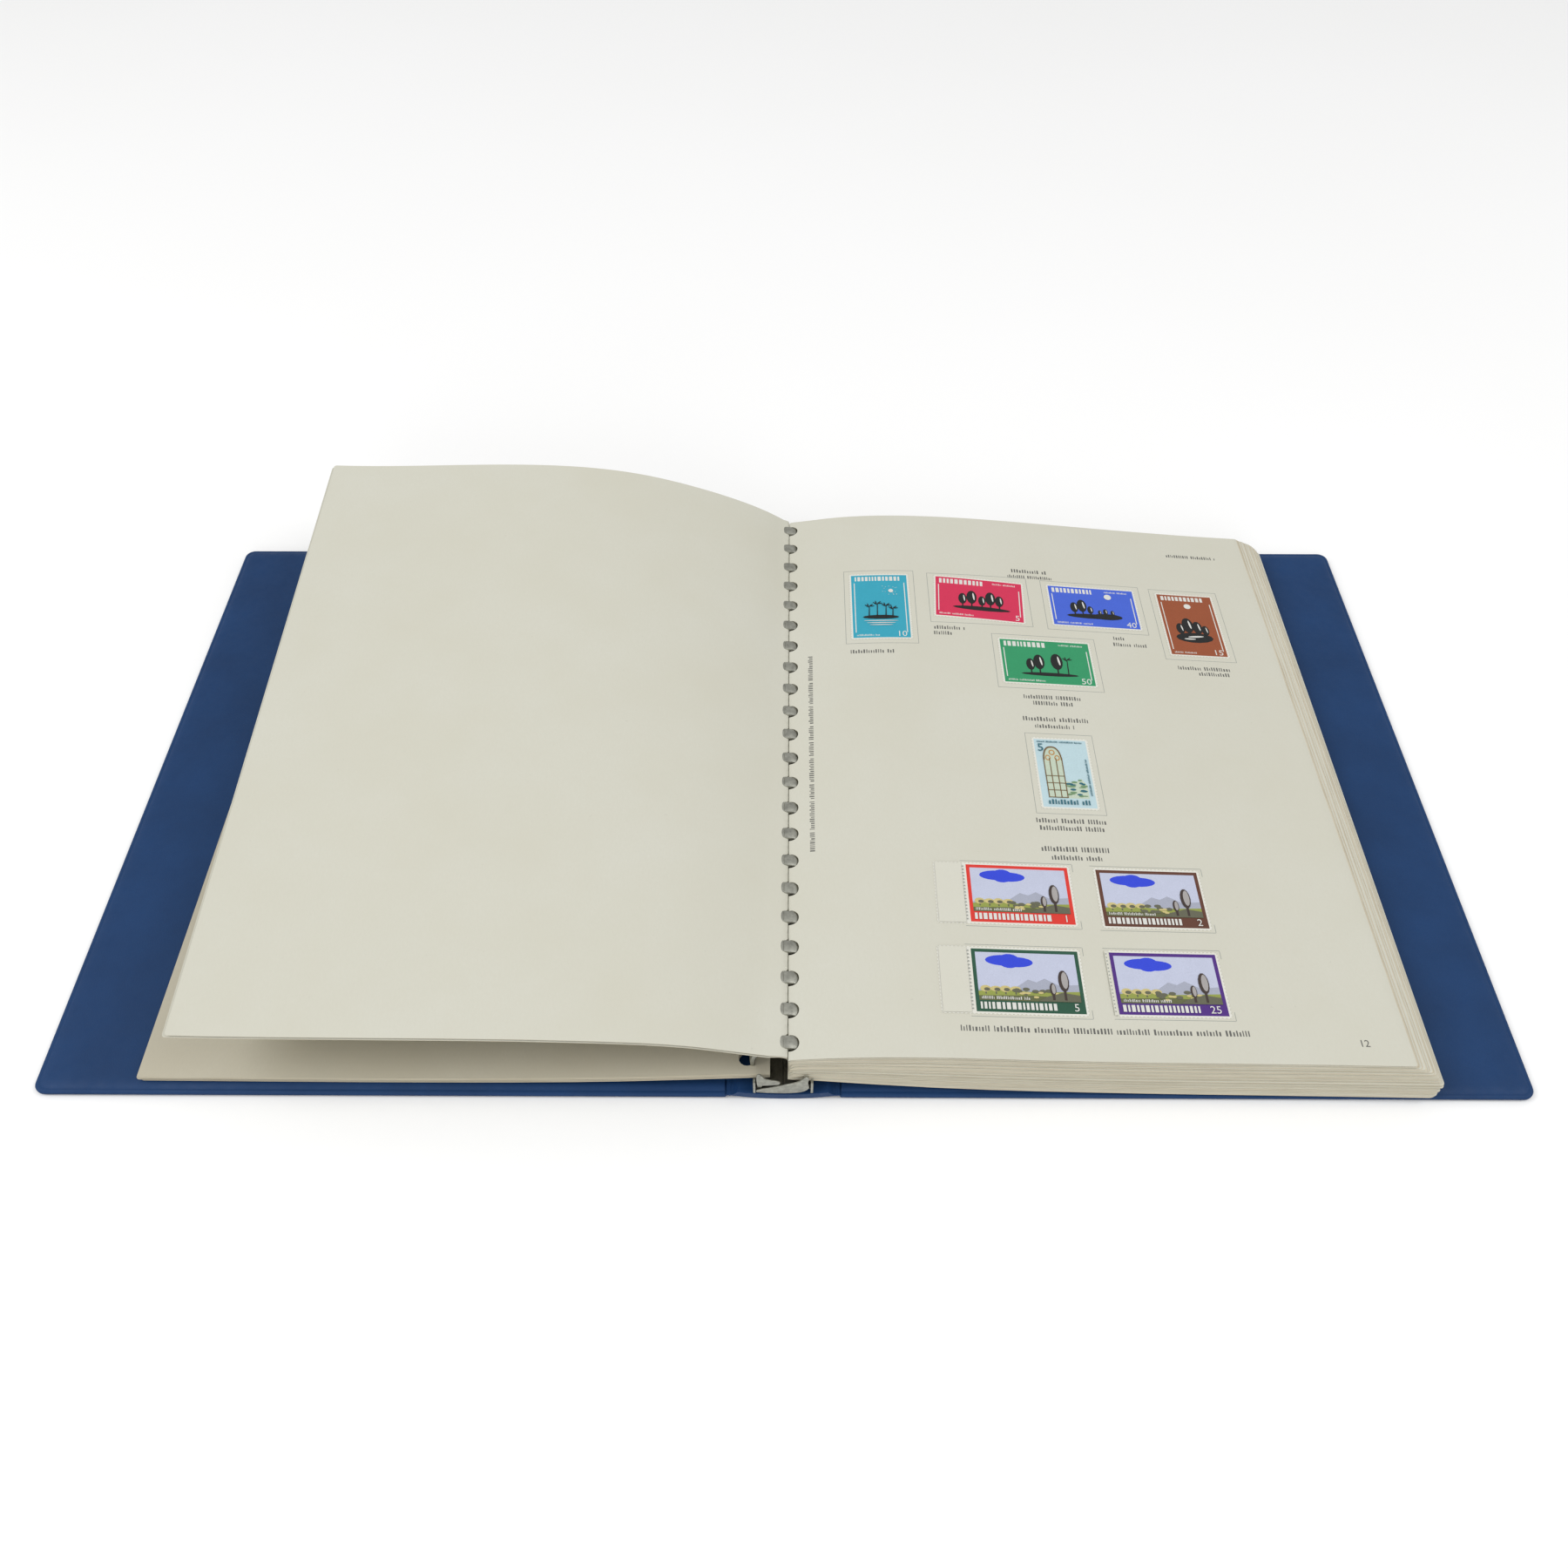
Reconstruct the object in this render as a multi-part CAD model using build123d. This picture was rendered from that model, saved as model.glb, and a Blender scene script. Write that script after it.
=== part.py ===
from build123d import *
import os

# A ring-bound stamp album lying open on a table, its front edge toward -Y.
# X runs across the open album, Y along the spine, Z up. Sizes in mm.
# Origin: on the table, in the middle of the open cover.

os.makedirs("parts", exist_ok=True)

# Cover: two welded vinyl cases with boards inside, a rounded spine, two hinge webs
open_width = 532.0
cover_height = 287.0
cover_thickness = 3.2
skin = 0.6
board_inset = 2.5
board_gap = 0.05
outer_corner = 5.0
edge_round = 1.0
spine_half = 17.6
spine_sag = 2.2
spine_board_half = 15.4
web_width = 2.5
web_bottom = 2.15
web_top = 3.25
cover_inner = spine_half + web_width
cover_outer = open_width / 2

# Ring mechanism: a channel with two snapping blades, 22 split rings, four levers
ring_count = 22
ring_pitch = 12.7
mid_y = -1.2
ring_z = 14.6
ring_inner = 9.6
ring_outer = 11.8
ring_width = 5.0
ring_split = 0.1
housing_half = 10.5
housing_wall = 0.8
housing_base = 4.1
housing_top = 9.3
ear_top = 12.0
ear_length = 1.5
mechanism_half = 142.1
blade_bottom = 6.6
blade_top = 7.6
blade_inner = 0.15
blade_outer = 9.35
blade_half = 140.6
lever_root = 0.5
lever_step = 0.7
notch_width = 6.0
notch_bottom = 7.0
rivet_places = (-120.0, -40.0, 40.0, 120.0)
rivet_radius = 2.0
rivet_head = 3.5
rivet_tail = 3.8
head_height = 0.7

# Leaves: 225 x 279.4 mm, punched along the inner edge
leaf_length = 279.4
leaf_thickness = 0.3
sheaf_gap = 0.1
slot_width = 5.8
right_pivot = (6.95, 14.95)
left_pivot = (-8.95, 12.95)
right_slot_radius = 21.8
left_slot_radius = 23.0
right_skew = -0.4
left_skew = 0.6

front_face = mid_y - leaf_length / 2
rear_face = mid_y + leaf_length / 2
ring_places = [mid_y + ring_pitch * (i - (ring_count - 1) / 2) for i in range(ring_count)]

# Leaf outlines as (x, z), from the rings outward
right_under = [(2.2, 11.4), (12, 9.9), (31, 7.8), (56, 5.6), (92, 4.1), (122, 3.65), (165, 3.6), (228, 3.6)]
page_front = [(2.2, 25.0), (12, 26.7), (30, 27.9), (54, 27.9), (89, 26.1), (119, 25.0), (161, 24.1), (217, 22.6)]
page_rear = [(2.2, 25.0), (12, 27.0), (30, 29.4), (54, 30.1), (89, 28.3), (119, 25.4), (161, 21.0), (217, 16.2)]
left_under = [(-6.6, 10.5), (-12, 9.9), (-31, 8.2), (-56, 6.2), (-105, 4.3), (-160, 3.65), (-229, 3.6)]
left_over = [(-6.6, 12.0), (-12, 12.4), (-31, 11.2), (-56, 9.4), (-105, 7.5), (-160, 6.7), (-229, 6.6)]
lifted_front = [(1.2, 25.0), (-11.6, 28.3), (-32, 33.5), (-58, 36.4), (-87, 37.7), (-130, 38.4), (-206, 39.8)]
lifted_rear = [(1.2, 25.0), (-9.5, 31.8), (-22, 38.0), (-42, 45.8), (-65, 52.6), (-121, 58.2), (-207, 57.5)]


def save(shape, node):
    """Write one sub-part; the file's name is its node."""
    export_step(shape, "parts/" + node + ".step")


def side(shape, name):
    """Parts are drawn on the right; the left one is the mirror image."""
    return shape if name == "right" else mirror(shape, about=Plane.YZ)


def prism(points, y_low, y_high):
    """An outline of (x, z) points pulled along Y."""
    corners = [(x, y_low, z) for x, z in points]
    return extrude(make_face(Polyline(*corners, close=True)), amount=y_high - y_low, dir=(0, 1, 0))


def block(x_low, x_high, y_low, y_high, z_low, z_high):
    centre = ((x_low + x_high) / 2, (y_low + y_high) / 2, (z_low + z_high) / 2)
    return Pos(*centre) * Box(x_high - x_low, y_high - y_low, z_high - z_low)


# ---- Cover ----------------------------------------------------------------

def case_outline(inset, z_low, z_high):
    """One cover's rounded plate, drawn in by an inset; its hinge edge is straight."""
    x_low = cover_inner + inset
    x_high = cover_outer - inset
    half = cover_height / 2 - inset
    plate = block(x_low, x_high, -half, half, z_low, z_high)
    corners = plate.edges().filter_by(Axis.Z).group_by(Axis.X)[-1]
    return fillet(corners, outer_corner - inset / 2)


def cover_parts(name):
    """Outer skin, lining and board of one cover."""
    weld = cover_thickness / 2
    pocket = case_outline(board_inset, skin, cover_thickness - skin)
    lower = case_outline(0, 0, weld)
    lower = fillet(lower.edges().group_by(Axis.Z)[0], edge_round) - pocket
    upper = case_outline(0, weld, cover_thickness)
    upper = fillet(upper.edges().group_by(Axis.Z)[-1], edge_round) - pocket
    board = case_outline(board_inset + board_gap, skin + board_gap, cover_thickness - skin - board_gap)
    save(side(lower, name), name + "_cover_skin")
    save(side(upper, name), name + "_cover_lining")
    save(side(board, name), name + "_cover_board")


def spine_arc(half, offset):
    """End, middle and end of the spine's curve, lifted by an offset."""
    radius = (spine_half ** 2 + spine_sag ** 2) / (2 * spine_sag)
    rise = radius - (radius ** 2 - half ** 2) ** 0.5
    return (-half, 0, rise + offset), (0, 0, offset), (half, 0, rise + offset)


def spine_slab(half, low, high, length):
    """A curved slab between two offsets of the spine's curve."""
    bottom = spine_arc(half, low)
    top = spine_arc(half, high)
    edges = [ThreePointArc(*bottom), Line(bottom[2], top[2]), ThreePointArc(*top), Line(top[0], bottom[0])]
    return extrude(make_face(edges), amount=length / 2, dir=(0, 1, 0), both=True)


def spine_case(low, high, edge_low, edge_high):
    """A curved layer of the spine whose two edges run flat into the hinge webs."""
    half = spine_board_half + 0.6
    bottom = spine_arc(half, low)
    top = spine_arc(half, high)
    right_edge = Polyline(bottom[2], (spine_half, 0, edge_low), (spine_half, 0, edge_high), top[2])
    left_edge = Polyline(top[0], (-spine_half, 0, edge_high), (-spine_half, 0, edge_low), bottom[0])
    edges = [ThreePointArc(*bottom), right_edge, ThreePointArc(*top), left_edge]
    return extrude(make_face(edges), amount=cover_height / 2, dir=(0, 1, 0), both=True)


def spine_parts():
    weld = (web_bottom + web_top) / 2
    board_length = cover_height - 2 * board_inset
    pocket = spine_slab(spine_board_half, skin, cover_thickness - skin, board_length)
    board = spine_slab(
        spine_board_half - board_gap,
        skin + board_gap,
        cover_thickness - skin - board_gap,
        board_length - 2 * board_gap,
    )
    lower = spine_case(0, cover_thickness / 2, web_bottom, weld) - pocket
    upper = spine_case(cover_thickness / 2, cover_thickness, weld, web_top) - pocket
    shanks = [Pos(0, y + mid_y, 3.0) * Cylinder(rivet_radius + board_gap, 6) for y in rivet_places]
    board_back = skin + board_gap
    for y in rivet_places:
        tail = Pos(0, y + mid_y, board_back + head_height / 2)
        board -= tail * Cylinder(rivet_tail + board_gap, head_height)
    for shank in shanks:
        board -= shank
        upper -= shank
    save(lower, "spine_skin")
    save(upper, "spine_lining")
    save(board, "spine_board")


def hinge_web(name):
    """The thin welded strip that bends when a cover turns."""
    half = cover_height / 2
    web = block(spine_half, cover_inner, -half, half, web_bottom, web_top)
    save(side(web, name), name + "_hinge_web")


# ---- Ring mechanism ---------------------------------------------------------

def housing():
    """A channel, notched for every ring, with a pair of ears around the levers at each end."""
    low_y = mid_y - mechanism_half
    high_y = mid_y + mechanism_half
    inner = housing_half - housing_wall
    base_top = housing_base + housing_wall
    channel = block(-housing_half, housing_half, low_y, high_y, housing_base, housing_top)
    for y in (low_y, high_y - ear_length):
        channel += block(-housing_half, housing_half, y, y + ear_length, housing_base, ear_top)
    channel -= block(-inner, inner, low_y - 1, high_y + 1, base_top, ear_top + 1)
    lip = channel.edges().filter_by(Axis.Y).group_by(Axis.Z)[0]
    channel = fillet(lip, housing_wall / 2)
    for y in (low_y, high_y - ear_length):
        channel -= block(-inner, inner, y, y + ear_length, housing_base, base_top)
    for y in ring_places:
        gap = (y - notch_width / 2, y + notch_width / 2)
        channel -= block(-housing_half - 1, housing_half + 1, *gap, notch_bottom, housing_top + 1)
    for y in rivet_places:
        channel -= Pos(0, y + mid_y, base_top) * Cylinder(rivet_radius + board_gap, 4)
    save(channel, "ring_housing")


def rivets():
    """Four rivets hold the channel to the spine board, under the outer skin."""
    base_top = housing_base + housing_wall
    tail_z = skin + 2 * board_gap
    group = []
    for y in rivet_places:
        place = Pos(0, y + mid_y, 0)
        shank = Pos(0, 0, (tail_z + base_top) / 2) * Cylinder(rivet_radius, base_top - tail_z)
        head = Pos(0, 0, base_top + head_height / 2) * Cylinder(rivet_head, head_height)
        head = fillet(head.edges().group_by(Axis.Z)[-1], head_height / 2)
        tail = Pos(0, 0, tail_z + head_height / 2 - board_gap / 2)
        tail = tail * Cylinder(rivet_tail, head_height - board_gap)
        group.append(place * (shank + head + tail))
    save(Compound(children=group), "housing_rivets")


def half_ring():
    """The right half of one ring: a bowed strip with a rounded back."""
    half = ring_width / 2
    section = Pos((ring_inner + ring_outer) / 2, 0, 0) * Rectangle(ring_outer - ring_inner, ring_width)
    back = section.vertices().group_by(Axis.X)[-1]
    section = fillet(back, (ring_outer - ring_inner) / 2)
    full = revolve(section, axis=Axis.Y, revolution_arc=360)
    reach = ring_outer + 1
    keep = block(ring_split / 2, reach, -half - 1, half + 1, blade_top - ring_z, reach)
    return Pos(0, 0, ring_z) * (full & keep)


def ring_halves(name):
    ring = side(half_ring(), name)
    group = [Pos(0, y, 0) * ring for y in ring_places]
    save(Compound(children=group), name + "_ring_halves")


def blade(name):
    """One of the two long plates that carry the ring halves and snap over centre."""
    plate = block(blade_inner, blade_outer, mid_y - blade_half, mid_y + blade_half, blade_bottom, blade_top)
    plate = fillet(plate.edges().filter_by(Axis.Y).group_by(Axis.X)[-1], 0.4)
    save(side(plate, name), name + "_blade")


short_lever_arm = [
    (-9.0, 9.9), (-5.0, 10.0), (-2.6, 10.1), (-1.2, 10.5), (-0.6, 11.6), (-1.6, 12.9),
    (-4.5, 13.4), (-6.6, 14.8), (-7.8, 17.4), (-9.0, 18.4), (-9.3, 16.5), (-8.6, 12.5),
]
short_lever_root = [(-9.2, 6.6), (-7.4, 6.6), (-6.6, 12.5), (-8.5, 12.5)]
short_lever_neck = [(-8.7, 10.2), (-6.9, 10.2), (-6.6, 12.5), (-8.5, 12.5)]
long_lever_arm = [
    (-9.4, 4.6), (-6.0, 4.0), (-1.0, 3.7), (3.5, 3.9), (6.8, 4.8), (9.1, 7.2), (8.6, 10.5),
    (8.5, 12.6), (9.0, 15.4), (8.0, 16.4), (7.0, 14.6), (5.6, 12.2), (2.8, 10.5), (-0.6, 9.3),
    (-4.0, 7.8), (-8.2, 6.3), (-9.4, 5.8),
]
long_lever_root = [(0.4, 6.6), (8.9, 6.6), (8.7, 9.5), (4.0, 9.5), (0.6, 8.4)]


def lever_pair(end, face, outward):
    """The two opening levers at one end: a short one on the left, a long one that crosses under it."""
    root_end = face + outward * lever_root
    arm_start = face + outward * lever_step
    arm_end = mid_y + outward * mechanism_half
    short = prism(short_lever_root, *sorted((face, root_end)))
    short += prism(short_lever_neck, *sorted((face, arm_start)))
    short += prism(short_lever_arm, *sorted((arm_start, arm_end)))
    long = prism(long_lever_root, *sorted((face, arm_start)))
    long += prism(long_lever_arm, *sorted((arm_start, arm_end)))
    if end == "rear":
        short = mirror(short, about=Plane.YZ)
        long = mirror(long, about=Plane.YZ)
    sides = ("left", "right") if end == "front" else ("right", "left")
    save(short, end + "_" + sides[0] + "_lever")
    save(long, end + "_" + sides[1] + "_lever")


# ---- Leaves and stamps ------------------------------------------------------

def leaf_face(lower, upper, y):
    """The end face of a sheaf between two outlines of (x, z) points."""
    low = [(x, y, z) for x, z in lower]
    high = [(x, y, z) for x, z in upper]
    return make_face([Spline(*low), Line(low[-1], high[-1]), Spline(*high), Line(high[0], low[0])])


def sheaf(lower, upper, skew):
    """A pack of leaves; each outline is a (front, rear) pair."""
    front = leaf_face(lower[0], upper[0], front_face + skew)
    rear = leaf_face(lower[1], upper[1], rear_face + skew)
    return loft([front, rear], ruled=True)


def lifted(outline, height):
    return [(x, z + height) for x, z in outline]


def between(lower, upper, share, bulge=0.0):
    """An outline part of the way up a stack, its outer edge pushed out by a bulge."""
    points = [(a + share * (c - a), b + share * (d - b)) for (a, b), (c, d) in zip(lower, upper)]
    reach, height = points[-1]
    points[-1] = (reach + bulge * 4 * share * (1 - share), height)
    return points


def punch(shape, pivot, radius):
    """Open a slot for each ring, wide enough for the leaves' swing around the pivot."""
    for y in ring_places:
        hole = Pos(pivot[0], y, pivot[1]) * Rot(90, 0, 0) * Cylinder(radius, slot_width)
        shape -= hole
    return shape


right_stack_top = [lifted(page_front, -leaf_thickness - sheaf_gap), lifted(page_rear, -leaf_thickness - sheaf_gap)]
right_sheaves = {"bottom": (0.0, 0.24), "lower": (0.24, 0.48), "upper": (0.48, 0.74), "top": (0.74, 1.0)}
stack_bulge = 6.5


def right_leaves():
    for name, (low, high) in right_sheaves.items():
        under = [between(right_under, top, low, stack_bulge) for top in right_stack_top]
        over = [lifted(between(right_under, top, high, stack_bulge), -sheaf_gap) for top in right_stack_top]
        pack = punch(sheaf(under, over, right_skew), right_pivot, right_slot_radius)
        save(pack, "right_leaves_" + name)
    page_under = [lifted(page_front, -leaf_thickness), lifted(page_rear, -leaf_thickness)]
    page = sheaf(page_under, [page_front, page_rear], right_skew)
    save(punch(page, right_pivot, right_slot_radius), "page_12_leaf")


def left_leaves():
    shares = {"lower": (0.0, 0.6), "upper": (0.6, 1.0)}
    for name, (low, high) in shares.items():
        under = between(left_under, left_over, low)
        over = lifted(between(left_under, left_over, high), -sheaf_gap)
        pack = sheaf([under, under], [over, over], left_skew)
        save(punch(pack, left_pivot, left_slot_radius), "left_leaves_" + name)


def lifted_leaves():
    """Two blank leaves that stand up in an arch from the rings."""
    drop = {"upper": 0.0, "lower": -1.0}
    for name, height in drop.items():
        over = [lifted(lifted_front, height), lifted(lifted_rear, height)]
        under = [lifted(outline, -leaf_thickness) for outline in over]
        leaf = sheaf(under, over, 0.0)
        save(punch(leaf, (0, ring_z), ring_outer + 0.4), "lifted_leaf_" + name)


stamps = {
    "cyan": (42.2, 77.0, 25.0, 39.4),
    "crimson": (86.8, 83.1, 39.0, 24.8),
    "blue": (138.8, 82.5, 39.0, 24.8),
    "brown": (182.2, 75.0, 25.0, 38.6),
    "green": (113.0, 46.1, 39.0, 25.2),
    "arched_window": (112.5, -15.3, 21.4, 34.8),
    "landscape_red": (82.0, -74.3, 50.0, 25.2),
    "landscape_brown": (137.1, -74.6, 38.6, 25.0),
    "landscape_green": (80.8, -110.9, 50.0, 25.2),
    "landscape_purple": (136.6, -110.8, 38.6, 25.0),
}
stamp_lift = 0.05
stamp_thickness = 0.2


def stamp_set():
    """Each stamp lies on the page and follows its curve."""
    under = [lifted(page_front, stamp_lift), lifted(page_rear, stamp_lift)]
    over = [lifted(outline, stamp_thickness) for outline in under]
    layer = sheaf(under, over, right_skew)
    for name, (x, y, width, height) in stamps.items():
        frame = block(x - width / 2, x + width / 2, y - height / 2, y + height / 2, 0, 60)
        save(layer & frame, "stamp_" + name)


for cover_side in ("left", "right"):
    cover_parts(cover_side)
    hinge_web(cover_side)
    ring_halves(cover_side)
    blade(cover_side)
spine_parts()
housing()
rivets()
lever_pair("front", mid_y - blade_half, -1)
lever_pair("rear", mid_y + blade_half, 1)
right_leaves()
left_leaves()
lifted_leaves()
stamp_set()
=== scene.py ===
import math

import bmesh
import bpy
import numpy as np
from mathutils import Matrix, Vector
from mathutils.bvhtree import BVHTree


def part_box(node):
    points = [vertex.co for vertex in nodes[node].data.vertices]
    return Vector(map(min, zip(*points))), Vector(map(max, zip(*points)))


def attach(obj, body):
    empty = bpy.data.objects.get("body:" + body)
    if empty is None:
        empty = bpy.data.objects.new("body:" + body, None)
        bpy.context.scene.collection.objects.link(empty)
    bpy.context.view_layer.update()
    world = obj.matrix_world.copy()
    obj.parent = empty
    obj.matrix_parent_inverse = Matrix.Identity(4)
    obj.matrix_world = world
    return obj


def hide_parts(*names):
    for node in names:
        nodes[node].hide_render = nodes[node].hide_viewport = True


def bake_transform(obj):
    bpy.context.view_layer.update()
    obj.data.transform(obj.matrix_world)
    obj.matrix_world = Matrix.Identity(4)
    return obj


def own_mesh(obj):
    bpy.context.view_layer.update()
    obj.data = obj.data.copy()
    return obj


# A ring-bound stamp album, open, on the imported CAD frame. Lengths below are in mm; MM turns them to metres.

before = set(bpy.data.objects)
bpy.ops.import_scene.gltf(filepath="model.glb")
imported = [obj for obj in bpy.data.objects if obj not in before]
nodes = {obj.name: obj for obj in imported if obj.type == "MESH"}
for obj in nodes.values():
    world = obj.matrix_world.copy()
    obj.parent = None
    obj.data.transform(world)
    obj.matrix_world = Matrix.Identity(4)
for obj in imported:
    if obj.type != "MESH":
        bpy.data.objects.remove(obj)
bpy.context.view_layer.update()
MM = 0.001
random = np.random.default_rng(12)

# ---- Sizes read from the frame


def box(node):
    """A CAD node's lowest and highest corner, in mm."""
    low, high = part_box(node)
    return np.array(low) / MM, np.array(high) / MM


page_low, page_high = box("page_12_leaf")
leaf_front, leaf_rear = page_low[1], page_high[1]
leaf_length = leaf_rear - leaf_front
ring_count = 22
ring_pitch = leaf_length / ring_count
ring_low, ring_high = box("right_ring_halves")
mid_y = (ring_low[1] + ring_high[1]) / 2
ring_width = ring_high[1] - ring_low[1] - ring_pitch * (ring_count - 1)
ring_outer = ring_high[0]
ring_z = ring_high[2] - ring_outer
ring_wall = 1.8
ring_inner = ring_outer - ring_wall
blade_top = box("right_blade")[1][2]
cover_inner = box("right_cover_skin")[0][0]
cover_outer = box("right_cover_skin")[1][0]
cover_half = box("right_cover_skin")[1][1]
cover_top = box("right_cover_lining")[1][2]

# Punched leaf
hole_radius = 3.1
hole_inset = 8.0
hole_cell = 4.5
leaf_corner = 1.1
stack_bulge = 6.5
bulge_start = 165.0


# ---- Mesh helpers

def new_object(name, points, faces, materials, slots=None, smooth_angle=40.0):
    """A mesh object from points in mm; slots gives each face's material."""
    mesh = bpy.data.meshes.new(name)
    mesh.from_pydata((np.asarray(points, float) * MM).tolist(), [], faces)
    for material in materials:
        mesh.materials.append(material)
    if slots is not None:
        mesh.polygons.foreach_set("material_index", np.asarray(slots, np.int32))
    mesh.polygons.foreach_set("use_smooth", np.ones(len(mesh.polygons), bool))
    mesh.update()
    mesh.set_sharp_from_angle(angle=math.radians(smooth_angle))
    obj = bpy.data.objects.new(name, mesh)
    bpy.context.scene.collection.objects.link(obj)
    return obj


def boundary(faces):
    """The edges that only one face uses, in that face's direction."""
    seen = {}
    for face in faces:
        for a, b in zip(face, face[1:] + face[:1]):
            key = (min(a, b), max(a, b))
            seen.setdefault(key, []).append((a, b))
    return [edges[0] for edges in seen.values() if len(edges) == 1]


def slab(faces, top, under):
    """A closed sheet: faces between top and under points, with a rim. Returns points, faces, rim flags."""
    count = len(top)
    lower = [[count + i for i in reversed(face)] for face in faces]
    rim = [[b, a, a + count, b + count] for a, b in boundary(faces)]
    flags = [0] * (2 * len(faces)) + [1] * len(rim)
    return np.vstack([top, under]), list(faces) + lower + rim, flags


def skin(rows, count):
    """The faces of a closed tube of rows, each with count points, and its two ends."""
    faces = []
    for row in range(rows - 1):
        for i in range(count):
            near, far = row * count, (row + 1) * count
            j = (i + 1) % count
            faces.append([near + i, near + j, far + j, far + i])
    faces.append([(rows - 1) * count + i for i in range(count)])
    faces.append(list(range(count))[::-1])
    return faces


class Pile:
    """Gathers several closed shapes into one mesh."""

    def __init__(self):
        self.points = []
        self.faces = []
        self.slots = []
        self.count = 0

    def add(self, points, faces, slots):
        self.points.append(np.asarray(points, float))
        self.faces += [[self.count + i for i in face] for face in faces]
        self.slots += list(slots)
        self.count += len(points)

    def make(self, name, materials, smooth_angle=40.0):
        return new_object(name, np.vstack(self.points), self.faces, materials, self.slots, smooth_angle)


def place(obj, body, slot, *replaced):
    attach(obj, body)
    if replaced:
        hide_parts(*replaced)
    return obj


def smooth_line(points, rounds=2):
    """Corner cutting that keeps both ends."""
    line = np.asarray(points, float)
    for _ in range(rounds):
        near = 0.75 * line[:-1] + 0.25 * line[1:]
        far = 0.25 * line[:-1] + 0.75 * line[1:]
        middle = np.empty((2 * len(near), line.shape[1]))
        middle[0::2] = near
        middle[1::2] = far
        line = np.vstack([line[:1], middle[1:-1], line[-1:]])
    return line


# ---- Materials

class Shader:
    """A node material with a principled shader and short calls for what it needs."""

    def __init__(self, name, roughness=0.5, metallic=0.0, specular=0.5):
        self.material = bpy.data.materials.new(name)
        self.material.use_nodes = True
        self.nodes = self.material.node_tree.nodes
        self.links = self.material.node_tree.links
        self.shader = self.nodes["Principled BSDF"]
        self.shader.inputs["Roughness"].default_value = roughness
        self.shader.inputs["Metallic"].default_value = metallic
        self.shader.inputs["Specular IOR Level"].default_value = specular
        self.place = self.nodes.new("ShaderNodeTexCoord").outputs["Object"]

    def link(self, output, node, socket):
        self.links.new(output, node.inputs[socket])

    def stretched(self, scale):
        mapping = self.nodes.new("ShaderNodeMapping")
        mapping.inputs["Scale"].default_value = scale
        self.link(self.place, mapping, "Vector")
        return mapping.outputs["Vector"]

    def noise(self, size, detail=3.0, roughness=0.55, vector=None):
        """Noise whose features are about size mm across."""
        node = self.nodes.new("ShaderNodeTexNoise")
        node.inputs["Scale"].default_value = 1 / (size * MM)
        node.inputs["Detail"].default_value = detail
        node.inputs["Roughness"].default_value = roughness
        self.link(vector or self.place, node, "Vector")
        return node.outputs["Fac"]

    def cracks(self, size):
        """Distance from the lines between cells that are about size mm across."""
        node = self.nodes.new("ShaderNodeTexVoronoi")
        node.feature = "DISTANCE_TO_EDGE"
        node.inputs["Scale"].default_value = 1 / (size * MM)
        self.link(self.place, node, "Vector")
        return node.outputs["Distance"]

    def ramp(self, factor, stops):
        """A colour ramp; stops are (position, colour)."""
        node = self.nodes.new("ShaderNodeValToRGB")
        elements = node.color_ramp.elements
        while len(elements) < len(stops):
            elements.new(0.5)
        for element, (position, colour) in zip(elements, stops):
            element.position = position
            element.color = (*colour, 1)
        self.link(factor, node, "Fac")
        return node.outputs["Color"]

    def span(self, factor, low, high, start=0.3, end=0.7):
        node = self.nodes.new("ShaderNodeMapRange")
        node.inputs["From Min"].default_value = start
        node.inputs["From Max"].default_value = end
        node.inputs["To Min"].default_value = low
        node.inputs["To Max"].default_value = high
        self.link(factor, node, "Value")
        return node.outputs["Result"]

    def blend(self, factor, first, second):
        node = self.nodes.new("ShaderNodeMix")
        node.data_type = "RGBA"
        self.links.new(factor, node.inputs["Factor"])
        for socket, value in (("A", first), ("B", second)):
            inputs = [i for i in node.inputs if i.name == socket and i.type == "RGBA"]
            if isinstance(value, tuple):
                inputs[0].default_value = (*value, 1)
            else:
                self.links.new(value, inputs[0])
        return next(o for o in node.outputs if o.type == "RGBA")

    def colour(self, output):
        self.link(output, self.shader, "Base Color")

    def bump(self, height, strength, distance):
        """Raises the surface by height; distance in mm. Calls stack up."""
        node = self.nodes.new("ShaderNodeBump")
        node.inputs["Strength"].default_value = strength
        node.inputs["Distance"].default_value = distance * MM
        self.link(height, node, "Height")
        normal = self.shader.inputs["Normal"]
        if normal.links:
            self.link(normal.links[0].from_socket, node, "Normal")
        self.link(node.outputs["Normal"], self.shader, "Normal")


def shade(colour, factor):
    return tuple(min(1.0, channel * factor) for channel in colour)


def vinyl(name, colour):
    """Embossed leather-grain vinyl with faint scuffs."""
    s = Shader(name, specular=0.2)
    mottled = s.ramp(s.noise(26, 4), [(0.3, shade(colour, 0.9)), (0.7, shade(colour, 1.1))])
    scuffs = s.noise(9, 6, 0.75, s.stretched((1, 0.35, 1)))
    scuffed = s.blend(s.span(scuffs, 0.0, 0.16, 0.6, 0.8), mottled, shade(colour, 1.9))
    pits = s.span(s.cracks(0.75), 0.0, 1.0, 0.0, 0.35)
    s.colour(s.blend(s.span(pits, 0.22, 0.0, 0.0, 0.5), scuffed, shade(colour, 0.72)))
    s.link(s.span(s.noise(4, 4), 0.46, 0.6), s.shader, "Roughness")
    s.bump(pits, 0.35, 0.06)
    s.bump(s.noise(0.4, 3), 0.25, 0.05)
    s.bump(s.noise(30, 2), 0.3, 0.25)
    return s.material


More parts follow.
